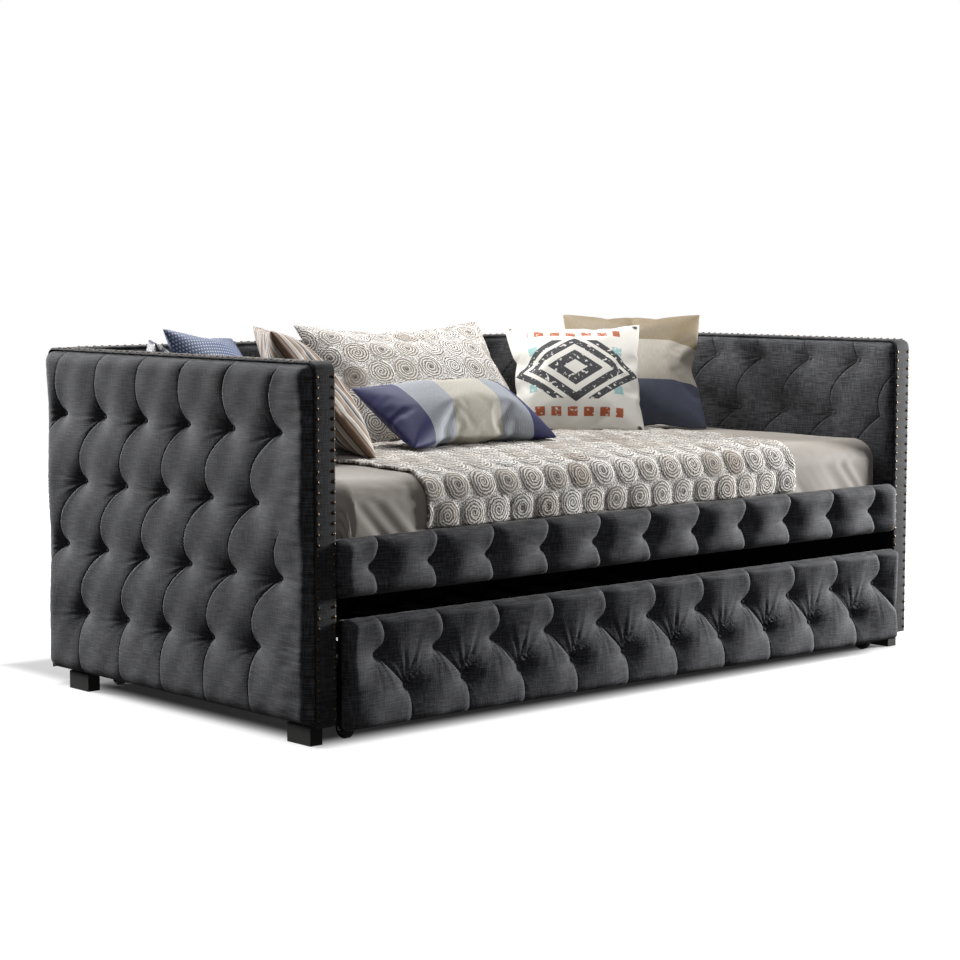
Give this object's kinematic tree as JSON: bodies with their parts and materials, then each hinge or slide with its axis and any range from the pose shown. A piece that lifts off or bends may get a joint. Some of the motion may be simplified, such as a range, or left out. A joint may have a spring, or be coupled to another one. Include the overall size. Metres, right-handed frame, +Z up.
{
  "type": "trundle bed",
  "caption": "Upholstered daybed with button-tufted arms, back and front rail, nailhead borders, a made-up mattress and a roll-out tufted trundle on casters.",
  "frame": {"origin": "centre of the bed's footprint on the floor, trundle closed", "axes": "+X along the bed, from the left arm to the right arm; -Y is the open front; +Z up"},
  "size_m": [2.088, 1.131, 0.9409],
  "materials": {
    "charcoal_linen": "slubby charcoal linen weave, matte",
    "bare_timber": "sawn and sanded softwood and plywood",
    "espresso_wood": "dark espresso lacquer, satin",
    "bronze_nail": "antique bronze, worn on the crowns",
    "zinc_steel": "zinc-plated steel",
    "black_steel": "black powder coat",
    "black_wheel": "black moulded tread and hub",
    "ticking": "white woven mattress ticking",
    "taupe_satin": "taupe satin sheet with a soft sheen",
    "rosette_cloth": "cream cloth sewn all over with ruffled rings",
    "navy_satin": "navy satin ends and ribbed grey and cream bands",
    "printed_canvas": "white canvas with a plain geometric print",
    "banded_cloth": "tan, cream and slate bands of satin",
    "striped_cloth": "brown, beige, white and grey stripes",
    "blue_dotted": "blue cloth with a fine white dotted twill",
    "navy_figured": "navy cloth with a bold white figure"
  },
  "bodies": {
    "daybed": {"left_arm_core": "bare_timber", "right_arm_core": "bare_timber", "back_core": "bare_timber", "rail_board": "bare_timber", "front_ledger": "bare_timber", "rear_ledger": "bare_timber", "centre_beam": "bare_timber", "deck_slats": "bare_timber", "left_arm_outer_pad": "charcoal_linen", "right_arm_outer_pad": "charcoal_linen", "left_arm_inner_pad": "charcoal_linen", "right_arm_inner_pad": "charcoal_linen", "back_outer_pad": "charcoal_linen", "back_inner_pad": "charcoal_linen", "left_arm_border": "charcoal_linen", "right_arm_border": "charcoal_linen", "back_border": "charcoal_linen", "left_arm_buttons": "charcoal_linen", "right_arm_buttons": "charcoal_linen", "back_buttons": "charcoal_linen", "rail_pad": "charcoal_linen", "rail_buttons": "charcoal_linen", "left_arm_nails": "bronze_nail", "right_arm_nails": "bronze_nail", "back_nails": "bronze_nail", "front_left_foot": "espresso_wood", "front_right_foot": "espresso_wood", "rear_left_foot": "espresso_wood", "rear_right_foot": "espresso_wood", "foot_bolts": "zinc_steel", "beam_hangers": "zinc_steel", "corner_brackets": "zinc_steel", "mattress": "ticking", "fitted_sheet": "taupe_satin", "quilt": "rosette_cloth", "rosette_pillow": "rosette_cloth", "lumbar_pillow": "navy_satin", "canvas_pillow": "printed_canvas", "banded_pillow": "banded_cloth", "striped_pillow": "striped_cloth", "blue_pillow": "blue_dotted", "navy_pillow": "navy_figured"},
    "trundle": {"trundle_board": "bare_timber", "trundle_pad": "charcoal_linen", "trundle_buttons": "charcoal_linen", "trundle_left_side": "bare_timber", "trundle_right_side": "bare_timber", "trundle_back_rail": "bare_timber", "trundle_ledgers": "bare_timber", "left_runner": "bare_timber", "right_runner": "bare_timber", "trundle_slats": "bare_timber", "caster_forks": "black_steel", "caster_axles": "zinc_steel"},
    "front_left_wheel": {"front_left_wheel": "black_wheel"},
    "front_right_wheel": {"front_right_wheel": "black_wheel"},
    "rear_left_wheel": {"rear_left_wheel": "black_wheel"},
    "rear_right_wheel": {"rear_right_wheel": "black_wheel"}
  },
  "joints": [
    {"name": "trundle_slide", "type": "slide", "parent": "daybed", "child": "trundle", "axis": [0, -1, 0], "range_m": [0, 0.9]},
    {"name": "front_left_wheel_spin", "type": "hinge", "parent": "trundle", "child": "front_left_wheel", "pos_m": [-0.912, -0.4775, 0.025], "axis": [1, 0, 0], "continuous": true},
    {"name": "front_right_wheel_spin", "type": "hinge", "parent": "trundle", "child": "front_right_wheel", "pos_m": [0.912, -0.4775, 0.025], "axis": [1, 0, 0], "continuous": true},
    {"name": "rear_left_wheel_spin", "type": "hinge", "parent": "trundle", "child": "rear_left_wheel", "pos_m": [-0.912, 0.4305, 0.025], "axis": [1, 0, 0], "continuous": true},
    {"name": "rear_right_wheel_spin", "type": "hinge", "parent": "trundle", "child": "rear_right_wheel", "pos_m": [0.912, 0.4305, 0.025], "axis": [1, 0, 0], "continuous": true}
  ],
  "couplings": [
    {"joint": "front_left_wheel_spin", "follows": "trundle_slide", "rad_per_m": 40},
    {"joint": "front_right_wheel_spin", "follows": "trundle_slide", "rad_per_m": 40},
    {"joint": "rear_left_wheel_spin", "follows": "trundle_slide", "rad_per_m": 40},
    {"joint": "rear_right_wheel_spin", "follows": "trundle_slide", "rad_per_m": 40}
  ]
}
